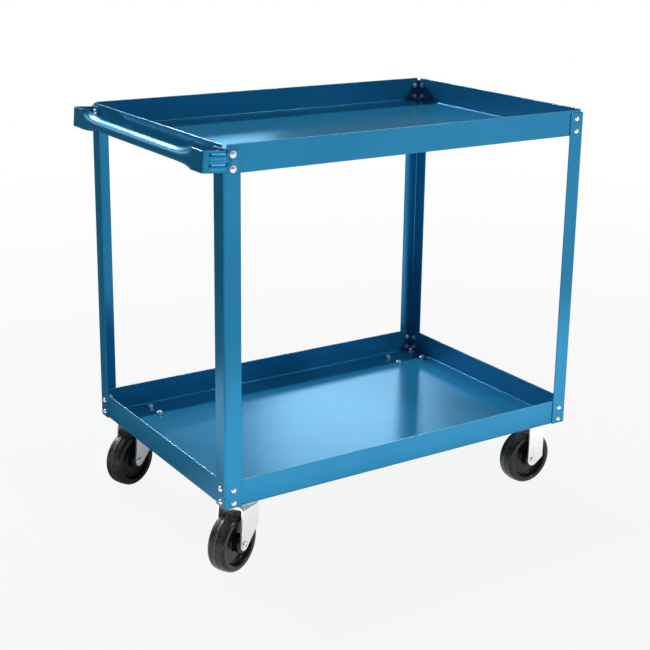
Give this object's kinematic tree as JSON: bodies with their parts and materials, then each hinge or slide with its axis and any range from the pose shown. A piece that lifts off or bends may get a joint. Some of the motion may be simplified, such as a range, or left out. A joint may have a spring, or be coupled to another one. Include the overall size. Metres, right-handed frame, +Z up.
{
  "type": "shelf cart",
  "caption": "Steel shelf cart: lipped trays screwed inside angle legs, a pressed push handle at one end over swivel casters, and rigid casters at the other end.",
  "frame": {"origin": "on the floor, under the middle of the cart's box", "axes": "+X along the cart, away from the handle; +Y across the cart; +Z up"},
  "size_m": [0.9639, 0.6254, 0.9017],
  "materials": {
    "blue_enamel": "semi-gloss blue stove enamel on sheet steel",
    "bright_zinc": "bright zinc plate on pressed and turned steel",
    "black_wheel": "glossy black moulded hard wheel",
    "plain_steel": "oiled plain steel"
  },
  "bodies": {
    "cart_frame": {"upper_tray": "blue_enamel", "lower_tray": "blue_enamel", "handle": "blue_enamel", "upper_corner_screws": "bright_zinc", "upper_corner_nuts": "bright_zinc", "lower_corner_screws": "bright_zinc", "lower_corner_nuts": "bright_zinc", "handle_screws": "bright_zinc", "handle_washers": "bright_zinc", "leg_handle_right": "blue_enamel", "leg_front_right": "blue_enamel", "swivel_right_plate_bolts": "bright_zinc", "swivel_right_plate_nuts": "bright_zinc", "swivel_right_top_plate": "bright_zinc", "swivel_right_kingpin": "bright_zinc", "swivel_right_kingpin_nut": "bright_zinc", "rigid_right_plate_bolts": "bright_zinc", "rigid_right_plate_nuts": "bright_zinc", "rigid_right_bracket": "bright_zinc", "rigid_right_axle_bolt": "bright_zinc", "rigid_right_axle_nut": "bright_zinc", "rigid_right_axle_sleeve": "plain_steel", "rigid_right_hub_washers": "bright_zinc", "leg_handle_left": "blue_enamel", "leg_front_left": "blue_enamel", "swivel_left_plate_bolts": "bright_zinc", "swivel_left_plate_nuts": "bright_zinc", "swivel_left_top_plate": "bright_zinc", "swivel_left_kingpin": "bright_zinc", "swivel_left_kingpin_nut": "bright_zinc", "rigid_left_plate_bolts": "bright_zinc", "rigid_left_plate_nuts": "bright_zinc", "rigid_left_bracket": "bright_zinc", "rigid_left_axle_bolt": "bright_zinc", "rigid_left_axle_nut": "bright_zinc", "rigid_left_axle_sleeve": "plain_steel", "rigid_left_hub_washers": "bright_zinc"},
    "swivel_fork_right": {"swivel_right_fork": "bright_zinc", "swivel_right_race_balls": "plain_steel", "swivel_right_kingpin_washer": "bright_zinc", "swivel_right_axle_bolt": "bright_zinc", "swivel_right_axle_nut": "bright_zinc", "swivel_right_axle_sleeve": "plain_steel", "swivel_right_hub_washers": "bright_zinc"},
    "swivel_wheel_right": {"swivel_right_wheel": "black_wheel"},
    "rigid_wheel_right": {"rigid_right_wheel": "black_wheel"},
    "swivel_fork_left": {"swivel_left_fork": "bright_zinc", "swivel_left_race_balls": "plain_steel", "swivel_left_kingpin_washer": "bright_zinc", "swivel_left_axle_bolt": "bright_zinc", "swivel_left_axle_nut": "bright_zinc", "swivel_left_axle_sleeve": "plain_steel", "swivel_left_hub_washers": "bright_zinc"},
    "swivel_wheel_left": {"swivel_left_wheel": "black_wheel"},
    "rigid_wheel_left": {"rigid_left_wheel": "black_wheel"}
  },
  "joints": [
    {"name": "swivel_right", "type": "hinge", "parent": "cart_frame", "child": "swivel_fork_right", "pos_m": [-0.36331, -0.2473, 0.14615], "axis": [0, 0, 1], "continuous": true},
    {"name": "swivel_roll_right", "type": "hinge", "parent": "swivel_fork_right", "child": "swivel_wheel_right", "pos_m": [-0.39941, -0.26452, 0.0635], "axis": [-0.4305, 0.9026, 0], "continuous": true},
    {"name": "rigid_roll_right", "type": "hinge", "parent": "cart_frame", "child": "rigid_wheel_right", "pos_m": [0.41199, -0.244, 0.0635], "axis": [0, 1, 0], "continuous": true},
    {"name": "swivel_left", "type": "hinge", "parent": "cart_frame", "child": "swivel_fork_left", "pos_m": [-0.36331, 0.2473, 0.14615], "axis": [0, 0, 1], "continuous": true},
    {"name": "swivel_roll_left", "type": "hinge", "parent": "swivel_fork_left", "child": "swivel_wheel_left", "pos_m": [-0.40013, 0.23167, 0.0635], "axis": [-0.3907, 0.9205, 0], "continuous": true},
    {"name": "rigid_roll_left", "type": "hinge", "parent": "cart_frame", "child": "rigid_wheel_left", "pos_m": [0.41199, 0.244, 0.0635], "axis": [0, 1, 0], "continuous": true}
  ]
}
